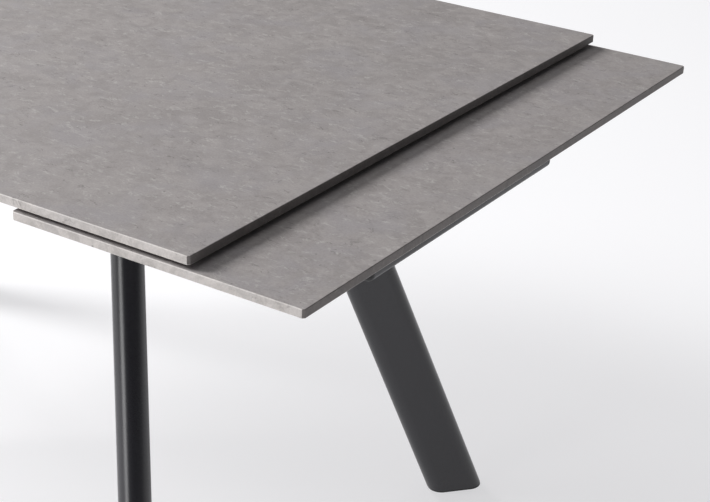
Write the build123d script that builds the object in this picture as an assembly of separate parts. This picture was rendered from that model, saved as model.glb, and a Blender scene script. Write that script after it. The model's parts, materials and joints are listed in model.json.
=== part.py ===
"""Extendable dining table: a stone top over two stone leaves that slide out from under its ends.

Frame: origin on the floor under the middle of the table, X along the length, Y across, Z up.
The leaves are drawn part way out, at LEAF_OUT; the right end is +X and the back is +Y.
"""

from build123d import *
import math
import os

# Driving dimensions, in millimetres
TOP_LENGTH = 1400
TOP_WIDTH = 900
TABLE_HEIGHT = 750
SLAB = 10                   # thickness of the top and of each leaf
SLAB_CORNER = 4
SLAB_UPPER_CHAMFER = 1.0
SLAB_LOWER_CHAMFER = 0.6
LEAF_DEPTH = 370
LEAF_DROP_GAP = 5.5         # air between the underside of the top and a leaf
LEAF_OUT = 136              # how far the leaves are drawn out here
LEAF_TRAVEL = 300           # from closed to fully out

WALL = 2                    # of every tube
TUBE_CORNER = 3
CAP_FLANGE = 3
CAP_PLUG = 16
CAP_GRIP = 0.2              # slack between a cap's plug and its tube
RAIL_WIDTH = 30
RAIL_HEIGHT = 50
RAIL_OUTER_Y = 215
RAIL_END_X = 596
RAIL_LOW_Z = 644
BUFFER_GAP = 0.3
BUFFER_RADIUS = 8

SLIDE_LENGTH = 400
SLIDE_HEIGHT = 45
SLIDE_THICK = 12.7
SLIDE_START_X = 190
SLIDE_LOW_Z = 649
SLIDE_SHEET = 1.2
SLIDE_GAP = 0.6

ARM_WIDTH = 20
ARM_HEIGHT = 45
ARM_LENGTH = 420
ARM_LOW_Z = 652
END_BAR_SETBACK = 73        # from the leaf's end edge to the bar's outer face
END_BAR_DEPTH = 25
END_BAR_HEIGHT = 51
END_BAR_LOW_Z = 646
END_BAR_CORNER = 7          # of the bar's section
END_BAR_NOSE = 8            # how far a cap stands out of the bar's end
INNER_BAR_DEPTH = 25
INNER_BAR_HEIGHT = 30
LEAF_BEARER_WIDTH = 40
LEAF_BEARER_HEIGHT = 25
LEAF_BEARER_HALF = 330
LEAF_BEARER_INSETS = (15, 210)   # from the leaf's inner edge to each bearer's inner face
LEAF_PAD_RADIUS = 18

CROSS_TUBE_X = 130
CROSS_TUBE_HEIGHT = 40
TOP_BEARER_X = 250
TOP_BEARER_WIDTH = 50
TOP_BEARER_HEIGHT = 35
TOP_BEARER_HALF = 360
BEARER_SPACER = 6
TOP_PAD_RADIUS = 22

PLATE = 6
LEG_PLATE_SIDE = 116
BRIDGE_WIDTH = 120
BRIDGE_HALF = 246
LEG_BROAD = 80
LEG_NARROW = 40
FOOT_X = 570
FOOT_Y = 382
FOOT_SOLE = 3
FOOT_PLUG = 18
LEG_TOP_X = 398
LEG_TOP_Y = 190

TIE_X = 520
TIE_WIDTH = 40
TIE_THICK = 5
TIE_WEB = 4
TIE_WEB_HALF = 140
TIE_WEB_HEIGHT = 31
STOP_Y = 100
STOP_RADIUS = 9

BOLT_RADIUS = 3.9
BOLT_HOLE = 4.3
BOLT_HEAD = 7
BOLT_HEAD_HEIGHT = 4.4
BOLT_SOCKET = 2.9
BOLT_PITCH = 90
NUT_ACROSS = 13
NUT_HEIGHT = 6.5
SCREW_RADIUS = 2.9
SCREW_HOLE = 3.2
SCREW_HEAD = 5.2
SCREW_HEAD_HEIGHT = 3.2
SCREW_SOCKET = 2.0
SCREW_BITE = 6              # how far a screw reaches into a slab

# Heights and places that follow from them
TOP_LOW_Z = TABLE_HEIGHT - SLAB
LEAF_TOP_Z = TOP_LOW_Z - LEAF_DROP_GAP
LEAF_LOW_Z = LEAF_TOP_Z - SLAB
RAIL_TOP_Z = RAIL_LOW_Z + RAIL_HEIGHT
RAIL_INNER_Y = RAIL_OUTER_Y - RAIL_WIDTH
ARM_OUTER_Y = RAIL_INNER_Y - SLIDE_THICK
ARM_INNER_Y = ARM_OUTER_Y - ARM_WIDTH
ARM_TOP_Z = ARM_LOW_Z + ARM_HEIGHT
LEAF_BEARER_TOP_Z = ARM_TOP_Z + LEAF_BEARER_HEIGHT
TOP_BEARER_LOW_Z = RAIL_TOP_Z + BEARER_SPACER
TOP_BEARER_TOP_Z = TOP_BEARER_LOW_Z + TOP_BEARER_HEIGHT
BRIDGE_LOW_Z = RAIL_LOW_Z - PLATE
LEG_PLATE_LOW_Z = BRIDGE_LOW_Z - PLATE
TOP_END = TOP_LENGTH / 2
LEAF_END = TOP_END + LEAF_OUT
LEAF_INNER = LEAF_END - LEAF_DEPTH
END_BAR_OUTER = LEAF_END - END_BAR_SETBACK
END_BAR_INNER = END_BAR_OUTER - END_BAR_DEPTH
ARM_START = END_BAR_INNER - ARM_LENGTH

TOP_SCREW_YS = (-300, -100, 100, 300)
TOP_PAD_YS = (-335, -200, 0, 200, 335)
LEAF_SCREW_YS = (-260, -80, 80, 260)
LEAF_PAD_YS = (-305, -130, 130, 305)
GLIDE_YS = (-390, -140, 140, 390)
GLIDE_SIZE = (18, 60)       # along X and Y
GLIDE_INSET = 35            # from the top's end edge to a glide's middle
GLIDE_CLEARANCE = 0.3
SIDES = {"front": -1, "back": 1}


def block(x_span, y_span, z_span):
    """A box between two values on each axis."""
    spans = [sorted(span) for span in (x_span, y_span, z_span)]
    sizes = [high - low for low, high in spans]
    middle = [(low + high) / 2 for low, high in spans]
    return Pos(*middle) * Box(*sizes)


def disc(radius, x, y, low, high):
    """An upright cylinder between two heights."""
    return Pos(x, y, (low + high) / 2) * Cylinder(radius, high - low)


def join(pieces):
    """One node that holds several separate solids."""
    return Compound([solid for piece in pieces for solid in piece.solids()])


def box_tube(x_span, y_span, z_span, along, corner=TUBE_CORNER):
    """A rectangular steel tube with rounded edges, open at both ends, along X or Y."""
    spans = [sorted(span) for span in (x_span, y_span, z_span)]
    sizes = [high - low for low, high in spans]
    middle = [(low + high) / 2 for low, high in spans]
    run = sizes[0] if along == "X" else sizes[1]
    across = sizes[1] if along == "X" else sizes[0]
    outer = RectangleRounded(across, sizes[2], corner)
    inner = RectangleRounded(across - 2 * WALL, sizes[2] - 2 * WALL, corner - WALL)
    plane = Plane(
        origin=middle,
        x_dir=(0, 1, 0) if along == "X" else (1, 0, 0),
        z_dir=(1, 0, 0) if along == "X" else (0, -1, 0),
    )
    return extrude(plane * (outer - inner), run / 2, both=True)


def slab(x_span, z_span):
    """A stone slab of the full width with eased edges and small round corners."""
    body = block(x_span, (-TOP_WIDTH / 2, TOP_WIDTH / 2), z_span)
    body = fillet(body.edges().filter_by(Axis.Z), SLAB_CORNER)
    body = chamfer(body.faces().sort_by(Axis.Z)[-1].edges(), SLAB_UPPER_CHAMFER)
    return chamfer(body.faces().sort_by(Axis.Z)[0].edges(), SLAB_LOWER_CHAMFER)


def main_top():
    top = slab((-TOP_END, TOP_END), (TOP_LOW_Z, TABLE_HEIGHT))
    for x in (-TOP_BEARER_X, TOP_BEARER_X):
        for y in TOP_SCREW_YS:
            top -= disc(SCREW_HOLE, x, y, TOP_LOW_Z - 1, TOP_LOW_Z + SCREW_BITE + 1)
    return top


def rail(side):
    inner, outer = side * RAIL_INNER_Y, side * RAIL_OUTER_Y
    return box_tube((-RAIL_END_X, RAIL_END_X), (inner, outer), (RAIL_LOW_Z, RAIL_TOP_Z), "X")


def tube_cap(centre, outward, across, height, flange=CAP_FLANGE):
    """A plastic plug for a tube's open end, with a flange that covers the cut."""
    level = (0, 1, 0) if outward[0] else (1, 0, 0)
    plane = Plane(origin=centre, x_dir=level, z_dir=outward)
    inset = 2 * (WALL + CAP_GRIP)
    cover = extrude(plane * RectangleRounded(across, height, TUBE_CORNER), flange)
    plug = RectangleRounded(across - inset, height - inset, TUBE_CORNER - WALL)
    return cover + extrude(plane * plug, -CAP_PLUG)


def frame_caps():
    """The caps of the two rails and of the two tubes that carry the top."""
    rail_y = (RAIL_INNER_Y + RAIL_OUTER_Y) / 2
    rail_z = RAIL_LOW_Z + RAIL_HEIGHT / 2
    bearer_z = TOP_BEARER_LOW_Z + TOP_BEARER_HEIGHT / 2
    caps = []
    for end in (-1, 1):
        for side in SIDES.values():
            mouth = (end * RAIL_END_X, side * rail_y, rail_z)
            caps.append(tube_cap(mouth, (end, 0, 0), RAIL_WIDTH, RAIL_HEIGHT))
            mouth = (end * TOP_BEARER_X, side * TOP_BEARER_HALF, bearer_z)
            caps.append(tube_cap(mouth, (0, side, 0), TOP_BEARER_WIDTH, TOP_BEARER_HEIGHT))
    return join(caps)


def closing_buffers():
    """A rubber dot on each rail cap, which the end bar meets when a leaf is shut."""
    start = RAIL_END_X + CAP_FLANGE
    shut_bar_face = END_BAR_INNER - LEAF_OUT
    buffers = []
    for end in (-1, 1):
        for side in SIDES.values():
            y = side * (RAIL_INNER_Y + RAIL_OUTER_Y) / 2
            z = (RAIL_LOW_Z + RAIL_TOP_Z) / 2
            plane = Plane(origin=(end * start, y, z), x_dir=(0, 1, 0), z_dir=(end, 0, 0))
            buffers.append(extrude(plane * Circle(BUFFER_RADIUS), shut_bar_face - BUFFER_GAP - start))
    return join(buffers)


def cross_tubes():
    """Two tubes between the rails, either side of the middle of the table."""
    low = RAIL_LOW_Z + (RAIL_HEIGHT - CROSS_TUBE_HEIGHT) / 2
    x_span = (CROSS_TUBE_X - RAIL_WIDTH / 2, CROSS_TUBE_X + RAIL_WIDTH / 2)
    y_span = (-RAIL_INNER_Y, RAIL_INNER_Y)
    tube = box_tube(x_span, y_span, (low, low + CROSS_TUBE_HEIGHT), "Y")
    return join([tube, mirror(tube, about=Plane.YZ)])


def leg_bolt_points(side):
    half = BOLT_PITCH / 2
    signs = [(-1, -1), (-1, 1), (1, -1), (1, 1)]
    return [(LEG_TOP_X + a * half, side * LEG_TOP_Y + b * half) for a, b in signs]


def all_leg_bolt_points():
    points = [point for side in SIDES.values() for point in leg_bolt_points(side)]
    return points + [(-x, y) for x, y in points]


def bridge():
    """A flat plate under both rails that carries the two legs of one end."""
    x_span = (LEG_TOP_X - BRIDGE_WIDTH / 2, LEG_TOP_X + BRIDGE_WIDTH / 2)
    plate = block(x_span, (-BRIDGE_HALF, BRIDGE_HALF), (BRIDGE_LOW_Z, RAIL_LOW_Z))
    plate = fillet(plate.edges().filter_by(Axis.Z), 6)
    for side in SIDES.values():
        for x, y in leg_bolt_points(side):
            plate -= disc(BOLT_HOLE, x, y, BRIDGE_LOW_Z - 1, RAIL_LOW_Z + 1)
    return plate


def end_tie():
    """An angle under the rail ends; its upright web carries the stops for a leaf pulled out."""
    foot = block(
        (TIE_X, TIE_X + TIE_WIDTH), (-RAIL_OUTER_Y, RAIL_OUTER_Y), (RAIL_LOW_Z - TIE_THICK, RAIL_LOW_Z)
    )
    web = block(
        (TIE_X, TIE_X + TIE_WEB), (-TIE_WEB_HALF, TIE_WEB_HALF), (RAIL_LOW_Z, RAIL_LOW_Z + TIE_WEB_HEIGHT)
    )
    return foot + web


def opening_stops():
    """Rubber stops that the inner bar meets when a leaf is fully out."""
    bar_face_when_out = ARM_START + INNER_BAR_DEPTH + LEAF_TRAVEL - LEAF_OUT
    start = bar_face_when_out + BUFFER_GAP
    z = RAIL_LOW_Z + 20
    stops = []
    for end in (-1, 1):
        for side in SIDES.values():
            plane = Plane(origin=(end * start, side * STOP_Y, z), x_dir=(0, 1, 0), z_dir=(end, 0, 0))
            stops.append(extrude(plane * Circle(STOP_RADIUS), TIE_X - start))
    return join(stops)


def bearer_spacers():
    """Steel packers between the rails and the two tubes that carry the top."""
    middle = (RAIL_INNER_Y + RAIL_OUTER_Y) / 2
    spacers = []
    for end in (-1, 1):
        for side in SIDES.values():
            x, y = end * TOP_BEARER_X, side * middle
            spacers.append(block((x - 20, x + 20), (y - 12, y + 12), (RAIL_TOP_Z, TOP_BEARER_LOW_Z)))
    return join(spacers)


def top_bearer():
    x_span = (TOP_BEARER_X - TOP_BEARER_WIDTH / 2, TOP_BEARER_X + TOP_BEARER_WIDTH / 2)
    z_span = (TOP_BEARER_LOW_Z, TOP_BEARER_TOP_Z)
    tube = box_tube(x_span, (-TOP_BEARER_HALF, TOP_BEARER_HALF), z_span, "Y")
    for y in TOP_SCREW_YS:
        tube -= disc(SCREW_HOLE, TOP_BEARER_X, y, TOP_BEARER_LOW_Z - 1, TOP_BEARER_TOP_Z + 1)
    return tube


def top_pads():
    """Round pads that bed the top on its bearers."""
    pads = []
    for end in (-1, 1):
        for y in TOP_PAD_YS:
            pads.append(disc(TOP_PAD_RADIUS, end * TOP_BEARER_X, y, TOP_BEARER_TOP_Z, TOP_LOW_Z))
    return join(pads)


def leaf_glides():
    """Felt strips under the ends of the top that keep a leaf level as it slides."""
    along, across = GLIDE_SIZE
    glides = []
    for end in (-1, 1):
        for y in GLIDE_YS:
            x = end * (TOP_END - GLIDE_INSET)
            strip = block(
                (x - along / 2, x + along / 2),
                (y - across / 2, y + across / 2),
                (LEAF_TOP_Z + GLIDE_CLEARANCE, TOP_LOW_Z),
            )
            glides.append(fillet(strip.edges().filter_by(Axis.Z), 4))
    return join(glides)


def leg_plane(side):
    """The plane square to a leg's axis at the floor; its X runs along the broad side of the tube."""
    foot = Vector(FOOT_X, side * FOOT_Y, 0)
    head = Vector(LEG_TOP_X, side * LEG_TOP_Y, LEG_PLATE_LOW_Z)
    axis = (head - foot).normalized()
    level = Vector(FOOT_X - LEG_TOP_X, side * (FOOT_Y - LEG_TOP_Y), 0).normalized()
    broad = level - axis * level.dot(axis)
    return Plane(origin=foot, x_dir=broad, z_dir=axis)


def leg_prism(side, inset, low, high):
    """The slanting oval of a leg, drawn in by inset and cut level at two heights."""
    profile = SlotOverall(LEG_BROAD - 2 * inset, LEG_NARROW - 2 * inset)
    slope = 1 / leg_plane(side).z_dir.Z
    start = low * slope - LEG_BROAD
    length = (high - low) * slope + 2 * LEG_BROAD
    plane = leg_plane(side)
    prism = extrude(plane.offset(start) * profile, length)
    room = LEG_BROAD * 3
    keep = block((0, FOOT_X + room), (-FOOT_Y - room, FOOT_Y + room), (low, high))
    return prism & keep


def leg(side):
    outer = leg_prism(side, 0, FOOT_SOLE, LEG_PLATE_LOW_Z)
    return outer - leg_prism(side, WALL, FOOT_SOLE - 1, LEG_PLATE_LOW_Z + 1)


def leg_plate(side):
    half = LEG_PLATE_SIDE / 2
    x, y = LEG_TOP_X, side * LEG_TOP_Y
    plate = block((x - half, x + half), (y - half, y + half), (LEG_PLATE_LOW_Z, BRIDGE_LOW_Z))
    plate = fillet(plate.edges().filter_by(Axis.Z), 8)
    for bolt_x, bolt_y in leg_bolt_points(side):
        plate -= disc(BOLT_HOLE, bolt_x, bolt_y, LEG_PLATE_LOW_Z - 1, BRIDGE_LOW_Z + 1)
    return plate


def leg_plates():
    """The four square plates welded to the tops of the legs."""
    right_end = [leg_plate(side) for side in SIDES.values()]
    return join(right_end + [mirror(plate, about=Plane.YZ) for plate in right_end])


def foot(side):
    """A plastic sole under a leg, with a plug that grips inside the tube."""
    sole = leg_prism(side, 0.5, 0, FOOT_SOLE)
    plug = leg_prism(side, WALL + 0.2, FOOT_SOLE, FOOT_SOLE + FOOT_PLUG)
    return sole + plug


def leg_bolts():
    """Button-head bolts that hold each leg plate to its bridge."""
    bolts = []
    for x, y in all_leg_bolt_points():
        head = disc(BOLT_HEAD, x, y, LEG_PLATE_LOW_Z - BOLT_HEAD_HEIGHT, LEG_PLATE_LOW_Z)
        head = fillet(head.edges().sort_by(Axis.Z)[0], BOLT_HEAD_HEIGHT * 0.6)
        socket = Pos(x, y, LEG_PLATE_LOW_Z - BOLT_HEAD_HEIGHT) * extrude(RegularPolygon(BOLT_SOCKET, 6), 2.6)
        shank = disc(BOLT_RADIUS, x, y, LEG_PLATE_LOW_Z, RAIL_LOW_Z + NUT_HEIGHT + 0.5)
        bolts.append(head - socket + shank)
    return join(bolts)


def leg_nuts():
    nuts = []
    for x, y in all_leg_bolt_points():
        hexagon = RegularPolygon(NUT_ACROSS / 2, 6, major_radius=False) - Circle(BOLT_RADIUS + 0.05)
        nuts.append(Pos(x, y, RAIL_LOW_Z) * extrude(hexagon, NUT_HEIGHT))
    return join(nuts)


def screw(x, y, seat, tip):
    """A small button-head screw, its head hanging below the seat and its shank reaching up to tip."""
    head = disc(SCREW_HEAD, x, y, seat - SCREW_HEAD_HEIGHT, seat)
    head = fillet(head.edges().sort_by(Axis.Z)[0], SCREW_HEAD_HEIGHT * 0.6)
    socket = Pos(x, y, seat - SCREW_HEAD_HEIGHT) * extrude(RegularPolygon(SCREW_SOCKET, 6), 1.8)
    return head - socket + disc(SCREW_RADIUS, x, y, seat, tip)


def top_screws():
    places = [(end * TOP_BEARER_X, y) for end in (-1, 1) for y in TOP_SCREW_YS]
    return join([screw(x, y, TOP_BEARER_LOW_Z, TOP_LOW_Z + SCREW_BITE) for x, y in places])


def channel(x_start, back_y, open_y, low_z, high_z):
    """A thin channel along X: its web stands at back_y and its flanges run to open_y."""
    inward = math.copysign(SLIDE_SHEET, open_y - back_y)
    x_span = (x_start, x_start + SLIDE_LENGTH)
    web = block(x_span, (back_y, back_y + inward), (low_z, high_z))
    upper = block(x_span, (back_y, open_y), (high_z - SLIDE_SHEET, high_z))
    lower = block(x_span, (back_y, open_y), (low_z, low_z + SLIDE_SHEET))
    return web + upper + lower


def slide_member(side, stage):
    """One member of a telescopic slide: stage 0 is on the rail, 1 floats, 2 is on the arm."""
    step = SLIDE_SHEET + SLIDE_GAP
    start = SLIDE_START_X + LEAF_OUT * stage / 2
    low = SLIDE_LOW_Z + stage * step
    high = SLIDE_LOW_Z + SLIDE_HEIGHT - stage * step
    rail_face = RAIL_INNER_Y - stage * step
    if stage == 2:
        return channel(start, side * ARM_OUTER_Y, side * rail_face, low, high)
    return channel(start, side * rail_face, side * (ARM_OUTER_Y + 2.2 - stage), low, high)


def leaf():
    board = slab((LEAF_INNER, LEAF_END), (LEAF_LOW_Z, LEAF_TOP_Z))
    for inset in LEAF_BEARER_INSETS:
        x = LEAF_INNER + inset + LEAF_BEARER_WIDTH / 2
        for y in LEAF_SCREW_YS:
            board -= disc(SCREW_HOLE, x, y, LEAF_LOW_Z - 1, LEAF_LOW_Z + SCREW_BITE + 1)
    return board


def leaf_bearer(inset):
    """A flat tube across the two arms that carries the leaf."""
    x_span = (LEAF_INNER + inset, LEAF_INNER + inset + LEAF_BEARER_WIDTH)
    tube = box_tube(x_span, (-LEAF_BEARER_HALF, LEAF_BEARER_HALF), (ARM_TOP_Z, LEAF_BEARER_TOP_Z), "Y")
    x = sum(x_span) / 2
    for y in LEAF_SCREW_YS:
        tube -= disc(SCREW_HOLE, x, y, ARM_TOP_Z - 1, LEAF_BEARER_TOP_Z + 1)
    return tube


def leaf_pads():
    pads = []
    for inset in LEAF_BEARER_INSETS:
        x = LEAF_INNER + inset + LEAF_BEARER_WIDTH / 2
        for y in LEAF_PAD_YS:
            pads.append(disc(LEAF_PAD_RADIUS, x, y, LEAF_BEARER_TOP_Z, LEAF_LOW_Z))
    return join(pads)


def carriage_caps():
    """The caps of the leaf bearers and of the arms' inner ends."""
    caps = []
    for side in SIDES.values():
        for inset in LEAF_BEARER_INSETS:
            x = LEAF_INNER + inset + LEAF_BEARER_WIDTH / 2
            mouth = (x, side * LEAF_BEARER_HALF, ARM_TOP_Z + LEAF_BEARER_HEIGHT / 2)
            caps.append(tube_cap(mouth, (0, side, 0), LEAF_BEARER_WIDTH, LEAF_BEARER_HEIGHT))
        mouth = (ARM_START, side * (ARM_INNER_Y + ARM_OUTER_Y) / 2, ARM_LOW_Z + ARM_HEIGHT / 2)
        caps.append(tube_cap(mouth, (-1, 0, 0), ARM_WIDTH, ARM_HEIGHT))
    return join(caps)


def leaf_screws():
    screws = []
    for inset in LEAF_BEARER_INSETS:
        x = LEAF_INNER + inset + LEAF_BEARER_WIDTH / 2
        for y in LEAF_SCREW_YS:
            screws.append(screw(x, y, ARM_TOP_Z, LEAF_LOW_Z + SCREW_BITE))
    return join(screws)


def end_bar():
    """The carriage's outer bar, seen under the edge of a leaf."""
    half = RAIL_OUTER_Y - END_BAR_NOSE
    z_span = (END_BAR_LOW_Z, END_BAR_LOW_Z + END_BAR_HEIGHT)
    return box_tube((END_BAR_INNER, END_BAR_OUTER), (-half, half), z_span, "Y", END_BAR_CORNER)


def end_bar_caps():
    """A plug in each end of the end bar, with a nose that is rounded all round."""
    caps = []
    middle_x = (END_BAR_INNER + END_BAR_OUTER) / 2
    middle_z = END_BAR_LOW_Z + END_BAR_HEIGHT / 2
    inset = 2 * (WALL + CAP_GRIP)
    for side in SIDES.values():
        mouth_y = side * (RAIL_OUTER_Y - END_BAR_NOSE)
        plane = Plane(origin=(middle_x, mouth_y, middle_z), x_dir=(1, 0, 0), z_dir=(0, side, 0))
        nose = extrude(plane * RectangleRounded(END_BAR_DEPTH, END_BAR_HEIGHT, END_BAR_CORNER), END_BAR_NOSE)
        outer_face = nose.faces().sort_by(Axis.Y)[-1 if side > 0 else 0]
        nose = fillet(outer_face.edges(), END_BAR_CORNER * 0.9)
        plug = RectangleRounded(END_BAR_DEPTH - inset, END_BAR_HEIGHT - inset, END_BAR_CORNER - WALL)
        caps.append(nose + extrude(plane * plug, -CAP_PLUG))
    return join(caps)


def arm(side):
    inner, outer = side * ARM_INNER_Y, side * ARM_OUTER_Y
    return box_tube((ARM_START, END_BAR_INNER), (inner, outer), (ARM_LOW_Z, ARM_TOP_Z), "X")


def inner_bar():
    """The carriage's inner bar, between the arms."""
    low = ARM_LOW_Z + (ARM_HEIGHT - INNER_BAR_HEIGHT) / 2 - 4
    x_span = (ARM_START, ARM_START + INNER_BAR_DEPTH)
    return box_tube(x_span, (-ARM_INNER_Y, ARM_INNER_Y), (low, low + INNER_BAR_HEIGHT), "Y")


def save(name, shape):
    export_step(shape, f"parts/{name}.step")


def save_both_ends(name, shape):
    """The right end as drawn, and its mirror image at the left end."""
    save(f"{name}_right", shape)
    save(f"{name}_left", mirror(shape, about=Plane.YZ))


# What stands still
save("main_top", main_top())
save("frame_caps", frame_caps())
save("closing_buffers", closing_buffers())
save("opening_stops", opening_stops())
save("bearer_spacers", bearer_spacers())
save("top_pads", top_pads())
save("top_screws", top_screws())
save("leaf_glides", leaf_glides())
save("leg_bolts", leg_bolts())
save("leg_nuts", leg_nuts())
save("leg_plates", leg_plates())
save("cross_tubes", cross_tubes())
save_both_ends("bridge", bridge())
save_both_ends("end_tie", end_tie())
save_both_ends("top_bearer", top_bearer())

# Each corner, and the pieces that come in front and back pairs
for side_name, side in SIDES.items():
    save(f"rail_{side_name}", rail(side))
    save_both_ends(f"leg_{side_name}", leg(side))
    save_both_ends(f"foot_{side_name}", foot(side))
    save_both_ends(f"arm_{side_name}", arm(side))
    save_both_ends(f"slide_outer_{side_name}", slide_member(side, stage=0))
    save_both_ends(f"slide_inner_{side_name}", slide_member(side, stage=2))

# The floating members of the slides, which move half as far as a leaf
save_both_ends("slide_middle", join([slide_member(side, stage=1) for side in SIDES.values()]))

# What moves with each leaf
save_both_ends("leaf", leaf())
save_both_ends("leaf_pads", leaf_pads())
save_both_ends("leaf_screws", leaf_screws())
save_both_ends("carriage_caps", carriage_caps())
save_both_ends("leaf_bearer_inner", leaf_bearer(LEAF_BEARER_INSETS[0]))
save_both_ends("leaf_bearer_outer", leaf_bearer(LEAF_BEARER_INSETS[1]))
save_both_ends("end_bar", end_bar())
save_both_ends("end_bar_caps", end_bar_caps())
save_both_ends("inner_bar", inner_bar())
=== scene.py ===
# %% [markdown]
# # An extendable dining table, piece by piece
# The table has a thin stone top, a stone leaf under each end that slides out, and four
# splayed legs of flat-oval steel tube. The design comes packed as a frame of bodies and
# nodes. This lesson gives each piece its finished mesh and its finish, and leaves every
# size and place where the frame has it.

import json
import math

import bmesh
import bpy
from mathutils import Matrix, Vector


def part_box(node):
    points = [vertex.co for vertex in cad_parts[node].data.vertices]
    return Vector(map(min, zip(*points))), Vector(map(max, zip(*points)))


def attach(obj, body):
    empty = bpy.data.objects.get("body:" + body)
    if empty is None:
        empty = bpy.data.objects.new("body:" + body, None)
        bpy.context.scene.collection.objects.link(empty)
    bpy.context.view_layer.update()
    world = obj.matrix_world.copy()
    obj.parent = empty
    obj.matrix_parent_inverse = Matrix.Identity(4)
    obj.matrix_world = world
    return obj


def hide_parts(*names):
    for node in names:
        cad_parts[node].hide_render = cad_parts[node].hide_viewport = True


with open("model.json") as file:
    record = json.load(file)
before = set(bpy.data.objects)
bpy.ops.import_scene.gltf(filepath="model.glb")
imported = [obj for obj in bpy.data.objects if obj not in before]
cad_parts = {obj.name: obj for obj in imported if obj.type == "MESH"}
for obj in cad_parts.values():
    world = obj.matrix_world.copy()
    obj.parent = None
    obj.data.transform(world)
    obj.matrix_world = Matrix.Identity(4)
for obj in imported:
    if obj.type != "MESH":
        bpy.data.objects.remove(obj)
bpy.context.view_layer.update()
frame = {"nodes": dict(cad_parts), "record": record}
nodes = frame["nodes"]
MM = 0.001
ENDS = {"right": 1, "left": -1}
SIDES = {"front": -1, "back": 1}

# %% [markdown]
# ## The viewpoint
# The camera comes first, because it decides which details matter most. It stands off the
# front right corner and looks down on the end where a leaf is drawn out. A long lens keeps
# the edges of the top nearly parallel. The camera leans a little, so its axes are worked
# out from three angles and set as a rotation matrix.

# %% Camera
LENS = 84.43
SENSOR_WIDTH = 36
CAMERA_AZIMUTH = math.radians(32.09)
CAMERA_PITCH = math.radians(25.19)
CAMERA_ROLL = math.radians(-2.40)
CAMERA_FROM_CORNER = Vector((0.9067, -1.5944, 0.6961))

top_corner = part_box("main_top")[1]


def camera_axes(azimuth, pitch, roll):
    """Columns are the camera's right, its up, and the way its back points."""
    level = math.cos(pitch)
    forward = Vector((-math.sin(azimuth) * level, math.cos(azimuth) * level, -math.sin(pitch)))
    right = forward.cross(Vector((0, 0, 1))).normalized()
    down = forward.cross(right)
    rolled_right = right * math.cos(roll) + down * math.sin(roll)
    rolled_down = down * math.cos(roll) - right * math.sin(roll)
    return Matrix((rolled_right, -rolled_down, -forward)).transposed()


camera_data = bpy.data.cameras.new("viewpoint")
camera_data.lens = LENS
camera_data.sensor_width = SENSOR_WIDTH
camera = bpy.data.objects.new("viewpoint", camera_data)
bpy.context.scene.collection.objects.link(camera)
place = Matrix.Translation(Vector((top_corner.x, 0, top_corner.z)) + CAMERA_FROM_CORNER)
camera.matrix_world = place @ camera_axes(CAMERA_AZIMUTH, CAMERA_PITCH, CAMERA_ROLL).to_4x4()
bpy.context.scene.camera = camera
print("camera stands at", [round(value, 3) for value in camera.matrix_world.translation])

# %% [markdown]
# ## Helpers for node trees
# Shader trees and geometry trees are built the same way: a tree gets named inputs and
# outputs, then nodes whose sockets are fed with a number or with another node's output.
# One helper makes the tree and one adds a fed node, so that each tree below reads as a
# short list of steps. A few short ones wrap the nodes that are used most.

# %% Node tree helpers
FLOAT, COLOR, VECTOR = "NodeSocketFloat", "NodeSocketColor", "NodeSocketVector"
GEOMETRY, MATERIAL = "NodeSocketGeometry", "NodeSocketMaterial"


def new_tree(name, kind, inputs, outputs):
    """A node group with named sockets; returns the tree, its input node and its output node."""
    tree = bpy.data.node_groups.new(name, kind)
    for label, socket_type, value in inputs:
        socket = tree.interface.new_socket(name=label, in_out="INPUT", socket_type=socket_type)
        if value is not None:
            socket.default_value = value
    for label, socket_type in outputs:
        tree.interface.new_socket(name=label, in_out="OUTPUT", socket_type=socket_type)
    return tree, tree.nodes.new("NodeGroupInput").outputs, tree.nodes.new("NodeGroupOutput")


def put(tree, kind, feeds, **settings):
    """Adds one node; a feed is a value for its socket or an output to link there."""
    node = tree.nodes.new(kind)
    for setting, value in settings.items():
        setattr(node, setting, value)
    for socket, value in feeds.items():
        if isinstance(value, bpy.types.NodeSocket):
            tree.links.new(value, node.inputs[socket])
        else:
            node.inputs[socket].default_value = value
    return node


def maths(tree, operation, first, second=0.0):
    """One Math node, given by its output."""
    return put(tree, "ShaderNodeMath", {0: first, 1: second}, operation=operation).outputs[0]


def ramp(tree, value, low, high, to_low=0.0, to_high=1.0):
    """Maps low..high to to_low..to_high, clamped, with a smooth step."""
    feeds = {"Value": value, "From Min": low, "From Max": high, "To Min": to_low, "To Max": to_high}
    node = put(tree, "ShaderNodeMapRange", feeds, interpolation_type="SMOOTHSTEP")
    return node.outputs["Result"]


def noise(tree, where, scale, detail, roughness=0.55, distortion=0.0):
    """Fractal noise from 0 to 1."""
    feeds = {"Vector": where, "Scale": scale, "Detail": detail, "Roughness": roughness}
    feeds["Distortion"] = distortion
    return put(tree, "ShaderNodeTexNoise", feeds).outputs["Fac"]


def blend_colors(tree, amount, first, second):
    """Goes from the first colour to the second as amount goes from 0 to 1."""
    feeds = {0: amount, 6: first, 7: second}
    return put(tree, "ShaderNodeMix", feeds, data_type="RGBA").outputs[2]


def scaled(tree, color, factor):
    """A colour made lighter or darker by a factor."""
    return put(tree, "ShaderNodeVectorMath", {0: color, "Scale": factor}, operation="SCALE").outputs[0]


print("node tree helpers are ready")

# %% [markdown]
# ## Stone: clouds, trowel marks and pores
# The slabs look like trowelled cement. The real sheet carries a printed and pressed
# pattern: soft clouds a hand wide, a fine mottle, thin curved marks that a trowel leaves,
# some pale and some dark, and a few pores. A single noise looks like fog, so this group
# layers them. A trowel mark is a ridge: the thin line where a noise passes its middle
# value. One group serves the faces, the cut edges, the arrises and the ends, each with its
# own colours and its own strength of marks; the arrises' pale colours are a painted
# highlight and the ends' dark colours are painted shade.

# %% Trowel marks
MARK_STRETCH = 2.2
MIDDLE = 0.5


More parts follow.
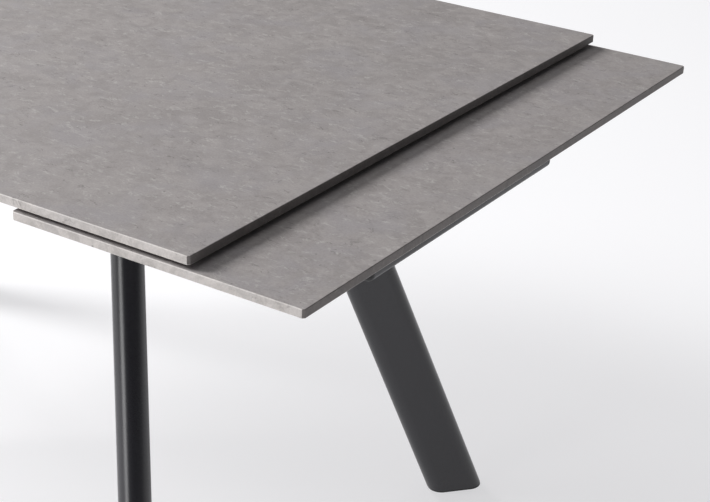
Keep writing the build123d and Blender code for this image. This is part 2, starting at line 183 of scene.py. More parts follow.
def trowel_marks(tree, where, turn, scale, width, patch_scale):
    """Thin curved marks that mostly lie one way, kept to patches."""
    feeds = {"Vector": where, "Rotation": (0, 0, turn), "Scale": (1.0, MARK_STRETCH, 1.0)}
    stretched = put(tree, "ShaderNodeMapping", feeds).outputs[0]
    wander = noise(tree, stretched, scale, detail=4.0, roughness=0.62, distortion=1.1)
    off_middle = maths(tree, "ABSOLUTE", maths(tree, "SUBTRACT", wander, MIDDLE))
    ridge = ramp(tree, off_middle, 0.0, width, to_low=1.0, to_high=0.0)
    patch = ramp(tree, noise(tree, stretched, patch_scale, detail=3.0, roughness=0.6), 0.54, 0.64)
    return maths(tree, "MULTIPLY", ridge, patch)


# %% Cement pattern group
PALE_MARK = (0.50, 0.48, 0.465, 1)
DARK_MARK = (0.15, 0.14, 0.135, 1)
PORE = (0.13, 0.12, 0.115, 1)
MARK_RELIEF = 0.4
PATTERN_OUT = [("Color", COLOR), ("Roughness", FLOAT), ("Height", FLOAT)]


def end_pattern(tree, result, values):
    """Feeds a pattern group's outputs, in the order that PATTERN_OUT lists them."""
    for (label, kind), value in zip(PATTERN_OUT, values):
        tree.links.new(value, result.inputs[label])
    return tree


def build_cement_group():
    """Clouds, mottle, marks, pores and grain, as a colour, a roughness and a height."""
    inputs = [
        ("Vector", VECTOR, None),
        ("Pale", COLOR, (0.30, 0.283, 0.275, 1)),
        ("Dark", COLOR, (0.25, 0.235, 0.23, 1)),
        ("Cool", COLOR, (0.275, 0.268, 0.285, 1)),
        ("Pale marks", FLOAT, 0.5),
        ("Dark marks", FLOAT, 0.5),
        ("Pores", FLOAT, 0.5),
    ]
    tree, given, result = new_tree("cement_pattern", "ShaderNodeTree", inputs, PATTERN_OUT)
    where = given["Vector"]
    clouds = noise(tree, where, scale=9.0, detail=6.0, roughness=0.62, distortion=0.7)
    mottle = noise(tree, where, scale=48.0, detail=6.0, roughness=0.64, distortion=1.0)
    grain = noise(tree, where, scale=420.0, detail=3.0, roughness=0.7)
    mixed = maths(tree, "ADD", maths(tree, "MULTIPLY", clouds, 0.3), maths(tree, "MULTIPLY", mottle, 0.7))
    body = blend_colors(tree, ramp(tree, mixed, 0.4, 0.6), given["Dark"], given["Pale"])
    cool_noise = noise(tree, where, scale=13.0, detail=6.0, roughness=0.65, distortion=0.6)
    cool_patch = ramp(tree, cool_noise, 0.44, 0.7, to_high=0.6)
    tinted = blend_colors(tree, cool_patch, body, given["Cool"])
    first = trowel_marks(tree, where, turn=0.5, scale=22.0, width=0.034, patch_scale=44.0)
    second = trowel_marks(tree, where, turn=2.0, scale=29.0, width=0.034, patch_scale=37.0)
    pale_marks = maths(tree, "MULTIPLY", maths(tree, "MAXIMUM", first, second), given["Pale marks"])
    lighter = blend_colors(tree, pale_marks, tinted, PALE_MARK)
    dark_ridge = trowel_marks(tree, where, turn=1.2, scale=26.0, width=0.026, patch_scale=41.0)
    dark_marks = maths(tree, "MULTIPLY", dark_ridge, given["Dark marks"])
    darker = blend_colors(tree, dark_marks, lighter, DARK_MARK)
    cells = put(tree, "ShaderNodeTexVoronoi", {"Vector": where, "Scale": 85.0, "Randomness": 1.0})
    spot = ramp(tree, cells.outputs["Distance"], 0.05, 0.15, to_low=1.0, to_high=0.0)
    chosen = ramp(tree, noise(tree, where, scale=24.0, detail=2.0), 0.54, 0.64)
    pores = maths(tree, "MULTIPLY", maths(tree, "MULTIPLY", spot, chosen), given["Pores"])
    pored = blend_colors(tree, pores, darker, PORE)
    speck = ramp(tree, grain, 0.3, 0.7, to_low=0.92, to_high=1.08)
    grained = scaled(tree, pored, speck)
    rough = ramp(tree, mottle, 0.3, 0.7, to_low=0.5, to_high=0.64)
    relief = maths(tree, "ADD", maths(tree, "MULTIPLY", mottle, 0.12), maths(tree, "MULTIPLY", grain, 0.25))
    raised = maths(tree, "ADD", relief, maths(tree, "MULTIPLY", pale_marks, MARK_RELIEF))
    sunk = maths(tree, "ADD", pores, maths(tree, "MULTIPLY", dark_marks, MARK_RELIEF))
    height = maths(tree, "SUBTRACT", raised, sunk)
    return end_pattern(tree, result, (grained, rough, height))


cement = build_cement_group()
print("cement group has", len(cement.nodes), "nodes")

# %% [markdown]
# ## Powder coat, moulded plastic and dust
# Powder paint bakes into a skin with a fine orange-peel grain, and moulded plastic has a
# grain of its own, only coarser. Both collect a little dust on what faces up. One group
# gives the grain as a height and a roughness, and a dust mask taken from the normal, so
# the paint, the plastic and the rubber share it with different numbers.

# %% Grain and dust group
def build_grain_group():
    """Fine grain as a height, a roughness that follows it, and dust on what faces up."""
    inputs = [
        ("Vector", VECTOR, None),
        ("Color", COLOR, (0.03, 0.03, 0.032, 1)),
        ("Dust color", COLOR, (0.25, 0.24, 0.23, 1)),
        ("Grain size", FLOAT, 900.0),
        ("Roughness", FLOAT, 0.4),
        ("Roughness spread", FLOAT, 0.08),
        ("Dust", FLOAT, 0.05),
    ]
    tree, given, result = new_tree("grain_and_dust", "ShaderNodeTree", inputs, PATTERN_OUT)
    where = given["Vector"]
    peel = noise(tree, where, given["Grain size"], detail=2.0, roughness=0.45)
    drift = noise(tree, where, scale=9.0, detail=3.0)
    tone = ramp(tree, drift, 0.35, 0.65, to_low=0.92, to_high=1.08)
    toned = scaled(tree, given["Color"], tone)
    normal = put(tree, "ShaderNodeNewGeometry", {}).outputs["Normal"]
    upward = put(tree, "ShaderNodeSeparateXYZ", {0: normal}).outputs["Z"]
    uneven = ramp(tree, drift, 0.3, 0.7, to_low=0.4, to_high=1.0)
    settled = maths(tree, "MULTIPLY", ramp(tree, upward, 0.55, 0.95), uneven)
    dust = maths(tree, "MULTIPLY", settled, given["Dust"])
    dusty = blend_colors(tree, dust, toned, given["Dust color"])
    swing = ramp(tree, peel, 0.3, 0.7, to_low=-0.5, to_high=0.5)
    spread = maths(tree, "MULTIPLY", swing, given["Roughness spread"])
    rough = maths(tree, "ADD", maths(tree, "ADD", given["Roughness"], spread), dust)
    return end_pattern(tree, result, (dusty, rough, peel))


grain_and_dust = build_grain_group()
print("grain group has", len(grain_and_dust.nodes), "nodes")

# %% [markdown]
# ## The finishes
# Each finish is one material: a group placed with its own values, a bump from the group's
# height, and a Principled shader whose constant settings sit on its own sockets. Patterns
# read Object coordinates, which are the table's own metres, so a pattern stays put and
# keeps its scale on every piece.

# %% Material helpers
def plain_material(name):
    """An emptied material, its tree and its Object coordinates."""
    material = bpy.data.materials.new(name)
    material.use_nodes = True
    tree = material.node_tree
    tree.nodes.clear()
    return material, tree, put(tree, "ShaderNodeTexCoord", {}).outputs["Object"]


def end_tree(tree, feeds):
    """The Principled shader and the output that every material ends in."""
    shader = put(tree, "ShaderNodeBsdfPrincipled", feeds).outputs["BSDF"]
    put(tree, "ShaderNodeOutputMaterial", {"Surface": shader})


def close_material(tree, pattern, bump, distance, specular=0.5, metallic=0.0, sheen=0.0):
    """Ends a material whose pattern is a colour, a roughness and a height."""
    color, rough, height = pattern
    raised = {"Height": height, "Strength": bump, "Distance": distance}
    normal = put(tree, "ShaderNodeBump", raised).outputs["Normal"]
    constants = {"Specular IOR Level": specular, "Metallic": metallic, "Sheen Weight": sheen}
    end_tree(tree, {"Base Color": color, "Roughness": rough, "Normal": normal, **constants})


def finish_with(name, group, values, bump, distance, **constants):
    """A material that places one of the groups with its own values."""
    material, tree, where = plain_material(name)
    placed = put(tree, "ShaderNodeGroup", {"Vector": where, **values}, node_tree=group)
    pattern = [placed.outputs[label] for label, kind in PATTERN_OUT]
    close_material(tree, pattern, bump, distance, **constants)
    return material


# %% Stone finishes
stone_face = finish_with(
    "stone_face", cement,
    {"Pale": (0.36, 0.333, 0.326, 1), "Dark": (0.308, 0.284, 0.278, 1), "Cool": (0.328, 0.308, 0.318, 1),
     "Pale marks": 0.6, "Dark marks": 0.55, "Pores": 0.6},
    bump=0.25, distance=0.0002, specular=0.4,
)
# The long-edge finish is paler than the face: partly the stone's paler body, partly painted light standing
# for the front light on the long edges.
stone_edge = finish_with(
    "stone_edge", cement,
    {"Pale": (0.50, 0.468, 0.448, 1), "Dark": (0.37, 0.346, 0.33, 1), "Cool": (0.43, 0.408, 0.40, 1),
     "Pale marks": 0.3, "Dark marks": 0.5, "Pores": 0.7},
    bump=0.2, distance=0.0002, specular=0.3,
)
# The end finish is the same stone painted much darker: painted shade for the ends and corners, which face
# away from the lights.
stone_end_edge = finish_with(
    "stone_end_edge", cement,
    {"Pale": (0.208, 0.189, 0.182, 1), "Dark": (0.158, 0.144, 0.139, 1), "Cool": (0.18, 0.167, 0.165, 1),
     "Pale marks": 0.1, "Dark marks": 0.3, "Pores": 0.5},
    bump=0.2, distance=0.0002, specular=0.3,
)
# The arris finish is far paler than the stone: a painted highlight for the line of light each arris
# catches. On the lower arris it is wholly painted highlight; on the upper one it is partly the paler body
# that grinding opens.
stone_arris = finish_with(
    "stone_arris", cement,
    {"Pale": (0.60, 0.57, 0.545, 1), "Dark": (0.48, 0.455, 0.435, 1), "Cool": (0.54, 0.52, 0.51, 1),
     "Pale marks": 0.2, "Dark marks": 0.2, "Pores": 0.2},
    bump=0.1, distance=0.0001, specular=0.5,
)
# The sealed end named here is the darker end finish, which is painted shade.
print("stone finishes: face, long edge, sealed end and arris")

# %% Paint, plastic and rubber finishes
leg_coat = finish_with(
    "leg_powder_coat", grain_and_dust,
    {"Color": (0.0115, 0.011, 0.0152, 1), "Grain size": 2400.0, "Roughness": 0.3, "Dust": 0.02},
    bump=0.06, distance=0.0001, specular=0.7,
)
frame_coat = finish_with(
    "frame_powder_coat", grain_and_dust,
    {"Color": (0.031, 0.031, 0.035, 1), "Grain size": 1900.0, "Roughness": 0.4, "Dust": 0.08},
    bump=0.1, distance=0.0001, specular=0.5,
)
cap_plastic = finish_with(
    "cap_plastic", grain_and_dust,
    {"Color": (0.018, 0.018, 0.019, 1), "Grain size": 700.0, "Roughness": 0.5, "Dust": 0.05},
    bump=0.3, distance=0.0003, specular=0.4,
)
rubber = finish_with(
    "stop_rubber", grain_and_dust,
    {"Color": (0.022, 0.021, 0.021, 1), "Grain size": 1800.0, "Roughness": 0.72, "Dust": 0.12},
    bump=0.2, distance=0.0002, specular=0.3,
)
black_oxide = finish_with(
    "black_oxide", grain_and_dust,
    {"Color": (0.055, 0.055, 0.058, 1), "Grain size": 2200.0, "Roughness": 0.34, "Dust": 0.03},
    bump=0.1, distance=0.0001, metallic=0.9,
)

# %% [markdown]
# ## Zinc and felt
# The slides are zinc-plated strip: bright, with faint drawing lines along the strip and a
# slight yellow-blue drift from the passivation. Felt is a mat of short fibres, so its
# colour and height come from noise that is stretched two ways. These two stand alone and
# need no shared group.

# %% Zinc and felt finishes
DRAWN_LINES = (6.0, 1400.0, 1400.0)
CROSSED_FIBRES = (2600.0, 500.0, 900.0)
zinc, tree, where = plain_material("zinc_plate")
drawn = put(tree, "ShaderNodeMapping", {"Vector": where, "Scale": DRAWN_LINES}).outputs[0]
lines = noise(tree, drawn, scale=1.0, detail=3.0, roughness=0.6)
drift_noise = noise(tree, where, scale=22.0, detail=3.0, roughness=0.6, distortion=0.8)
drift = ramp(tree, drift_noise, 0.35, 0.65)
tint = blend_colors(tree, drift, (0.56, 0.57, 0.60, 1), (0.63, 0.62, 0.58, 1))
rough = ramp(tree, lines, 0.3, 0.7, to_low=0.24, to_high=0.42)
close_material(tree, (tint, rough, lines), bump=0.1, distance=0.0001, metallic=1.0)

felt, tree, where = plain_material("pressed_felt")
crossed = put(tree, "ShaderNodeMapping", {"Vector": where, "Scale": CROSSED_FIBRES}).outputs[0]
fibres = noise(tree, crossed, scale=1.0, detail=4.0, roughness=0.7, distortion=1.5)
wool = blend_colors(tree, ramp(tree, fibres, 0.35, 0.65), (0.05, 0.05, 0.053, 1), (0.13, 0.13, 0.135, 1))
rough = ramp(tree, fibres, 0.3, 0.7, to_low=0.85, to_high=0.98)
close_material(tree, (wool, rough, fibres), bump=0.8, distance=0.0006, sheen=0.4)
print("finishes:", ", ".join(material.name for material in bpy.data.materials if material.use_nodes))

# %% [markdown]
# ## Helpers for finished pieces
# Every finished piece is a mesh whose object sits at the origin. It rides on the body that
# its node belongs to and stands for that node, which is hidden. Normals are shaded smooth
# and then weighted by face area, which keeps broad faces flat right up to a rounded edge.

# %% Piece helpers
SMOOTH_BELOW = math.radians(38)
MERGE = 0.001 * MM
node_body = {}
for body, members in frame["record"]["behaviour"]["bodies"].items():
    node_body.update({node: body for node in members})


def object_from(name, mesh):
    """A new object at the origin."""
    thing = bpy.data.objects.new(name, mesh)
    bpy.context.scene.collection.objects.link(thing)
    return thing


def smooth_shaded(thing):
    """Rounded edges look round, and broad faces stay flat."""
    thing.data.shade_smooth()
    thing.data.set_sharp_from_angle(angle=SMOOTH_BELOW)
    weighted = thing.modifiers.new("even_normals", "WEIGHTED_NORMAL")
    weighted.keep_sharp = True
    return thing


def stands_for(thing, node):
    """The piece rides on the node's body and hides the node."""
    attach(thing, node_body[node])
    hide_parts(node)


def mesh_from_rings(name, rings, closed_loop=False):
    """Skins rings of equal count, in order; the ends are capped unless the rings loop round."""
    shape = bmesh.new()
    loops = [[shape.verts.new(point) for point in ring] for ring in rings]
    pairs = list(zip(loops, loops[1:]))
    if closed_loop:
        pairs.append((loops[-1], loops[0]))
    count = len(rings[0])
    for lower, upper in pairs:
        for step in range(count):
            after = (step + 1) % count
            shape.faces.new((lower[step], lower[after], upper[after], upper[step]))
    if not closed_loop:
        shape.faces.new(loops[0][::-1])
        shape.faces.new(loops[-1])
    bmesh.ops.recalc_face_normals(shape, faces=shape.faces)
    mesh = bpy.data.meshes.new(name)
    shape.to_mesh(mesh)
    shape.free()
    return mesh


# %% [markdown]
# ## The slabs
# The top and the leaves are flat sheets with ground edges: an eased arris above, a
# smaller one below, and corners ground to a narrow flat so that they don't snag a sleeve.
# A bevel modifier would treat all edges alike, so the slab is skinned from outlines
# instead. Each outline is the plan drawn in by a little, and the arris is a short arc of
# them. Each zone has its own finish. The long edges are paler than the face, partly their
# own paler body and partly painted light from the front; the ends and corners are painted
# darker down to their lower arris, which is painted shade; and the arrises are painted
# pale, a painted highlight for the line of light they catch, on the upper one partly the
# paler body that grinding opens.

# %% Slab meshes
SLAB_CORNER = 3.2 * MM
CORNER_TURNS = [math.radians(turn) for turn in (0, 5, 14, 76, 85, 90)]
UPPER_ARRIS, LOWER_ARRIS = 1.0 * MM, 0.6 * MM
ARRIS_STEPS = 4
FLAT_ABOVE, ENDWARD_ABOVE = 0.95, 0.5
STONE_FINISHES = (stone_face, stone_edge, stone_arris, stone_end_edge)
FACE, LONG_EDGE, ARRIS, END = range(len(STONE_FINISHES))


def rounded_plan(low, high, inset, height):
    """A rectangle with round corners, drawn in by inset, at one height."""
    points = []
    centres = [(high.x, high.y, 0), (low.x, high.y, 1), (low.x, low.y, 2), (high.x, low.y, 3)]
    for x, y, quarter in centres:
        centre_x = x - math.copysign(SLAB_CORNER, x - (low.x + high.x) / 2)
        centre_y = y - math.copysign(SLAB_CORNER, y - (low.y + high.y) / 2)
        reach = SLAB_CORNER - inset
        for turn in CORNER_TURNS:
            angle = math.pi / 2 * quarter + turn
            point = (centre_x + reach * math.cos(angle), centre_y + reach * math.sin(angle), height)
            points.append(Vector(point))
    return points


def slab_rings(low, high):
    """Outlines up the lower arris, then up the upper one."""
    rings = []
    for step in range(ARRIS_STEPS + 1):
        turn = math.pi / 2 * step / ARRIS_STEPS
        inset, rise = LOWER_ARRIS * (1 - math.sin(turn)), LOWER_ARRIS * (1 - math.cos(turn))
        rings.append(rounded_plan(low, high, inset, low.z + rise))
    for step in range(ARRIS_STEPS + 1):
        turn = math.pi / 2 * step / ARRIS_STEPS
        inset, drop = UPPER_ARRIS * (1 - math.cos(turn)), UPPER_ARRIS * (1 - math.sin(turn))
        rings.append(rounded_plan(low, high, inset, high.z - drop))
    return rings


def zone_of(face, low, high):
    """Which of the stone finishes a face of the slab takes."""
    on_lower_arris = face.center.z < low.z + LOWER_ARRIS
    on_upper_arris = face.center.z > high.z - UPPER_ARRIS
    if abs(face.normal.z) > FLAT_ABOVE:
        return FACE
    # Faces that look along the table, the ends and corner flats, take the darker end finish, painted shade;
    # only their lower arris takes the arris finish's painted highlight.
    if abs(face.normal.x) > ENDWARD_ABOVE:
        return ARRIS if on_lower_arris else END
    # The long edges take the paler edge finish, partly painted light, and both their arrises the painted
    # highlight.
    return ARRIS if on_upper_arris or on_lower_arris else LONG_EDGE


def slab_piece(node):
    """A slab skinned to fill its node's box."""
    low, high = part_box(node)
    slab = object_from(f"{node}_slab", mesh_from_rings(f"{node}_slab", slab_rings(low, high)))
    for finish in STONE_FINISHES:
        slab.data.materials.append(finish)
    for face in slab.data.polygons:
        face.material_index = zone_of(face, low, high)
    stands_for(smooth_shaded(slab), node)


for node in ("main_top", "leaf_right", "leaf_left"):
    slab_piece(node)
    low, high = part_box(node)
    print(node, "is", [round((high[axis] - low[axis]) / MM, 1) for axis in range(3)], "mm")

# %% [markdown]
# ## The legs
# A leg is a flat-oval tube, broad along the way it leans, cut level at the top and at the
# floor. Sliding every point of the oval along the leg's axis to a chosen height gives the
# slanted section exactly, so the leg is skinned from a few such sections: a rolled lower
# lip, the outer wall, and back down the inside. The axis comes from the node's own cuts.

# %% Leg geometry
LEG_BROAD, LEG_NARROW, LEG_WALL = 80 * MM, 40 * MM, 2 * MM
OVAL_STEPS = 28
LIP, LIP_MIDDLE = 0.6 * MM, 0.3
ON_CUT = 0.01 * MM


def cut_centre(node, height):
    """The middle of a node's level cut at a height."""
    on_cut = [vertex.co for vertex in nodes[node].data.vertices if abs(vertex.co.z - height) < ON_CUT]
    xs, ys = [point.x for point in on_cut], [point.y for point in on_cut]
    return Vector(((min(xs) + max(xs)) / 2, (min(ys) + max(ys)) / 2, height))


def leg_section(foot, head, inset, height):
    """The leg's oval, drawn in by inset, where a level plane cuts it."""
    axis = (head - foot).normalized()
    lean = Vector((foot.x - head.x, foot.y - head.y, 0)).normalized()
    broad = (lean - axis * lean.dot(axis)).normalized()
    narrow = axis.cross(broad)
    radius = LEG_NARROW / 2 - inset
    half_flat = (LEG_BROAD - LEG_NARROW) / 2
    points = []
    for end, start_turn in ((1, -math.pi / 2), (-1, math.pi / 2)):
        for step in range(OVAL_STEPS + 1):
            angle = start_turn + math.pi * step / OVAL_STEPS
            across = end * half_flat + radius * math.cos(angle)
            offset = broad * across + narrow * radius * math.sin(angle)
            climb = (height - foot.z - offset.z) / axis.z
            points.append(foot + offset + axis * climb)
    return points


def leg_axis(corner):
    """The middles of a leg's lower and upper cuts."""
    low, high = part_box(f"leg_{corner}")
    return cut_centre(f"leg_{corner}", low.z), cut_centre(f"leg_{corner}", high.z)


def leg_piece(corner):
    """A leg as one closed wall: up the outside from its lip, and down the inside."""
    foot, head = leg_axis(corner)
    levels = [(LIP, foot.z), (LIP * LIP_MIDDLE, foot.z + LIP * LIP_MIDDLE), (0, foot.z + LIP)]
    levels += [(0, head.z), (LEG_WALL, head.z), (LEG_WALL, foot.z)]
    rings = [leg_section(foot, head, inset, height) for inset, height in levels]
    leg = object_from(f"leg_{corner}_tube", mesh_from_rings(f"leg_{corner}", rings, closed_loop=True))
    leg.data.materials.append(leg_coat)
    stands_for(smooth_shaded(leg), f"leg_{corner}")


print("leg section:", LEG_BROAD / MM, "x", LEG_NARROW / MM, "mm, wall", LEG_WALL / MM, "mm")

# %% [markdown]
# ## The soles
# Under each leg a thin plastic sole keeps the steel off the floor. It is the same oval a
# little drawn in, with a plug above it that grips inside the tube, so it is skinned from
# the same sections.

# %% Legs and soles
SOLE_INSET, PLUG_INSET, SOLE_LIP = 0.5 * MM, 2.2 * MM, 0.8 * MM


def sole_piece(corner):
    """A sole with its plug, skinned from the bottom up."""
    foot, head = leg_axis(corner)
    low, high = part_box(f"foot_{corner}")
    lip_middle = SOLE_LIP * LIP_MIDDLE
    levels = [(SOLE_INSET + SOLE_LIP, low.z), (SOLE_INSET + lip_middle, low.z + lip_middle)]
    levels += [(SOLE_INSET, low.z + SOLE_LIP), (SOLE_INSET, foot.z)]
    levels += [(PLUG_INSET, foot.z), (PLUG_INSET, high.z)]
    rings = [leg_section(foot, head, inset, height) for inset, height in levels]
    sole = object_from(f"foot_{corner}_sole", mesh_from_rings(f"foot_{corner}", rings))
    sole.data.materials.append(cap_plastic)
    stands_for(smooth_shaded(sole), f"foot_{corner}")


CORNERS = [f"{side}_{end}" for side in SIDES for end in ENDS]
for corner in CORNERS:
    leg_piece(corner)
    sole_piece(corner)
foot, head = leg_axis("back_right")
print("a leg leans", round(math.degrees((head - foot).angle(Vector((0, 0, 1)))), 1), "degrees")

# %% [markdown]
# ## Steel tubes from one geometry tree
# The frame and the two carriages are cut from box tube: rounded edges, a thin wall, open
# ends. All share one rule, so one Geometry Nodes tree draws them. It rounds two nested
# rectangles, fills the ring between them, and extrudes it to the length. The mesh is then
# turned onto its axis and laid in its node's box.

# %% Box tube tree
TUBE_CORNER, TUBE_WALL = 3 * MM, 2 * MM
END_BAR_CORNER = 7 * MM
JOIN_WITHIN = 1e-6
MESH_OUT = [("Mesh", GEOMETRY)]


def end_geometry(tree, geometry, finish, result):
    """The last two steps of every geometry tree: real faces, in one finish."""
    real = put(tree, "GeometryNodeRealizeInstances", {"Geometry": geometry}).outputs[0]
    finished = put(tree, "GeometryNodeSetMaterial", {"Geometry": real, "Material": finish})
    tree.links.new(finished.outputs[0], result.inputs["Mesh"])
    return tree


def build_tube_tree():
    """A box tube along Z from two nested rounded rectangles."""
    inputs = [
        ("Width", FLOAT, 0.03),
        ("Height", FLOAT, 0.05),
        ("Length", FLOAT, 1.0),
        ("Corner", FLOAT, TUBE_CORNER),
        ("Wall", FLOAT, TUBE_WALL),
        ("Corner steps", "NodeSocketInt", 6),
        ("Finish", MATERIAL, None),
    ]
    tree, given, result = new_tree("box_tube", "GeometryNodeTree", inputs, MESH_OUT)
    twice_wall = maths(tree, "MULTIPLY", given["Wall"], 2.0)

    def outline(shrink, radius):
        width = maths(tree, "SUBTRACT", given["Width"], shrink)
        height = maths(tree, "SUBTRACT", given["Height"], shrink)
        feeds = {"Width": width, "Height": height}
        rectangle = put(tree, "GeometryNodeCurvePrimitiveQuadrilateral", feeds, mode="RECTANGLE")
        rounding = {"Curve": rectangle.outputs[0], "Radius": radius, "Count": given["Corner steps"]}
        return put(tree, "GeometryNodeFilletCurve", rounding, mode="POLY").outputs[0]

    outer = outline(0.0, given["Corner"])
    inner = outline(twice_wall, maths(tree, "SUBTRACT", given["Corner"], given["Wall"]))
    both = tree.nodes.new("GeometryNodeJoinGeometry")
    tree.links.new(outer, both.inputs[0])
    tree.links.new(inner, both.inputs[0])
    face = put(tree, "GeometryNodeFillCurve", {"Curve": both.outputs[0]}).outputs[0]
    run = put(tree, "ShaderNodeCombineXYZ", {"Z": given["Length"]}).outputs[0]
    feeds = {"Mesh": face, "Offset": run, "Individual": False}
    walls = put(tree, "GeometryNodeExtrudeMesh", feeds, mode="FACES").outputs[0]
    near_end = put(tree, "GeometryNodeFlipFaces", {"Mesh": face}).outputs[0]
    closed = tree.nodes.new("GeometryNodeJoinGeometry")
    tree.links.new(walls, closed.inputs[0])
    tree.links.new(near_end, closed.inputs[0])
    feeds = {"Geometry": closed.outputs[0], "Distance": JOIN_WITHIN}
    welded = put(tree, "GeometryNodeMergeByDistance", feeds).outputs[0]
    return end_geometry(tree, welded, given["Finish"], result)


def run_tree(tree, source, values):
    """Runs a geometry tree on a source object and returns the result as a plain mesh."""
    modifier = source.modifiers.new("tree", "NODES")
    modifier.node_group = tree
    for item in tree.interface.items_tree:
        if item.item_type == "SOCKET" and item.in_out == "INPUT" and item.name in values:
            modifier[item.identifier] = values[item.name]
    evaluated = source.evaluated_get(bpy.context.evaluated_depsgraph_get())
    mesh = bpy.data.meshes.new_from_object(evaluated)
    bpy.data.objects.remove(source)
    return mesh


tube_tree = build_tube_tree()
print("tube tree has", len(tube_tree.nodes), "nodes")

# %% Lay tubes in their boxes
ALONG_X = Matrix(((0, 0, 1), (1, 0, 0), (0, 1, 0))).to_4x4()
ALONG_Y = Matrix(((1, 0, 0), (0, 0, -1), (0, 1, 0))).to_4x4()


def tube_mesh(low, high, along, finish, corner):
    """A box tube that fills the box from low to high, open along one axis."""
    size, middle = high - low, (low + high) / 2
    width, length = (size.y, size.x) if along == "X" else (size.x, size.y)
    start = Vector((low.x, middle.y, middle.z)) if along == "X" else Vector((middle.x, high.y, middle.z))
    source = object_from("tube_source", bpy.data.meshes.new("tube_source"))
    values = {"Width": width, "Height": size.z, "Length": length, "Corner": corner, "Finish": finish}
    mesh = run_tree(tube_tree, source, values)
    mesh.transform(Matrix.Translation(start) @ (ALONG_X if along == "X" else ALONG_Y))
    return mesh


def tube_piece(node, along, corner=TUBE_CORNER):
    """A painted tube in place of its node."""
    low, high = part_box(node)
    tube = object_from(f"{node}_tube", tube_mesh(low, high, along, frame_coat, corner))
    stands_for(smooth_shaded(tube), node)


for side in SIDES:
    tube_piece(f"rail_{side}", "X")
for end in ENDS:
    tube_piece(f"top_bearer_{end}", "Y")
    tube_piece(f"leaf_bearer_inner_{end}", "Y")
    tube_piece(f"leaf_bearer_outer_{end}", "Y")
    tube_piece(f"end_bar_{end}", "Y", END_BAR_CORNER)
    tube_piece(f"inner_bar_{end}", "Y")
    for side in SIDES:
        tube_piece(f"arm_{side}_{end}", "X")

# %% [markdown]
# ## Pressed and cut pieces
# Plates, angles, slide channels, caps, pads and stops already have their right shape in
# the frame. Their mesh is loose triangles with knife-sharp edges, and no real edge is that
# sharp. A copy is merged, its flat triangles are dissolved into whole faces, and a small
# bevel breaks the edges so that they catch a line of light.

# %% Refined copies
FLAT_WITHIN = math.radians(0.5)
BEVEL_ABOVE = math.radians(35)
BEVEL_SEGMENTS = 2


def merged_copy(node):
    """A node's loose triangles with their corners joined."""
    shape = bmesh.new()
    shape.from_mesh(nodes[node].data)
    bmesh.ops.remove_doubles(shape, verts=shape.verts, dist=MERGE)
    return shape


def refined_piece(node, finish, edge):
    """A copy of a node with broken edges."""
    shape = merged_copy(node)
    bmesh.ops.dissolve_limit(shape, angle_limit=FLAT_WITHIN, verts=shape.verts, edges=shape.edges)
    mesh = bpy.data.meshes.new(node)
    shape.to_mesh(mesh)
    shape.free()
    mesh.materials.clear()
    mesh.materials.append(finish)
    piece = object_from(f"{node}_finished", mesh)
    bevel = piece.modifiers.new("broken_edge", "BEVEL")
    bevel.width = edge
    bevel.segments = BEVEL_SEGMENTS
    bevel.limit_method = "ANGLE"
    bevel.angle_limit = BEVEL_ABOVE
    bevel.use_clamp_overlap = True
    stands_for(smooth_shaded(piece), node)


# Each node's finish, and the width of its broken edges in millimetres.
REFINED = {
    "leg_plates": (leg_coat, 0.6),
    "bearer_spacers": (frame_coat, 0.4),
    "cross_tubes": (frame_coat, 0.2),
    "frame_caps": (cap_plastic, 0.5),
    "closing_buffers": (rubber, 0.4),
    "opening_stops": (rubber, 1.0),
    "leaf_glides": (felt, 0.8),
    "top_pads": (rubber, 0.6),
}
for end in ENDS:
    REFINED[f"bridge_{end}"] = (frame_coat, 0.6)
    REFINED[f"end_tie_{end}"] = (frame_coat, 0.5)
    REFINED[f"slide_middle_{end}"] = (zinc, 0.15)
    REFINED[f"end_bar_caps_{end}"] = (cap_plastic, 0.8)
    REFINED[f"carriage_caps_{end}"] = (cap_plastic, 0.5)
    REFINED[f"leaf_pads_{end}"] = (rubber, 0.4)
    for side in SIDES:
        REFINED[f"slide_outer_{side}_{end}"] = (zinc, 0.15)
        REFINED[f"slide_inner_{side}_{end}"] = (zinc, 0.15)
for node, (finish, edge) in REFINED.items():
    refined_piece(node, finish, edge * MM)
print("edges broken on", len(REFINED), "nodes")

# %% [markdown]
# ## Bolts, screws and nuts
# The legs bolt up into their bridges, and the slabs are screwed down from below. A button
# head is a dome with a hex socket, so one fastener is modelled and a Geometry Nodes tree
# copies it to every place. The places are read from the solids in the node, and each copy
# gets its own spin, because nobody tightens bolts to the same angle.

# %% Fastener tree
def build_placing_tree():
    """Copies one fastener to every point, each with its own spin."""
    inputs = [
        ("Places", GEOMETRY, None),
        ("Fastener", "NodeSocketObject", None),
        ("Spin seed", "NodeSocketInt", 3),
        ("Finish", MATERIAL, None),
    ]
    tree, given, result = new_tree("place_fasteners", "GeometryNodeTree", inputs, MESH_OUT)
    points = put(tree, "GeometryNodeMeshToPoints", {"Mesh": given["Places"]}).outputs[0]
    source = put(tree, "GeometryNodeObjectInfo", {"Object": given["Fastener"]})
    spin = put(tree, "FunctionNodeRandomValue", {"Seed": given["Spin seed"]}, data_type="FLOAT")
    spin.inputs[3].default_value = math.tau
    turn = put(tree, "ShaderNodeCombineXYZ", {"Z": spin.outputs[1]}).outputs[0]
    feeds = {"Points": points, "Instance": source.outputs["Geometry"], "Rotation": turn}
    placed = put(tree, "GeometryNodeInstanceOnPoints", feeds).outputs[0]
    return end_geometry(tree, placed, given["Finish"], result)


placing_tree = build_placing_tree()
print("placing tree has", len(placing_tree.nodes), "nodes")

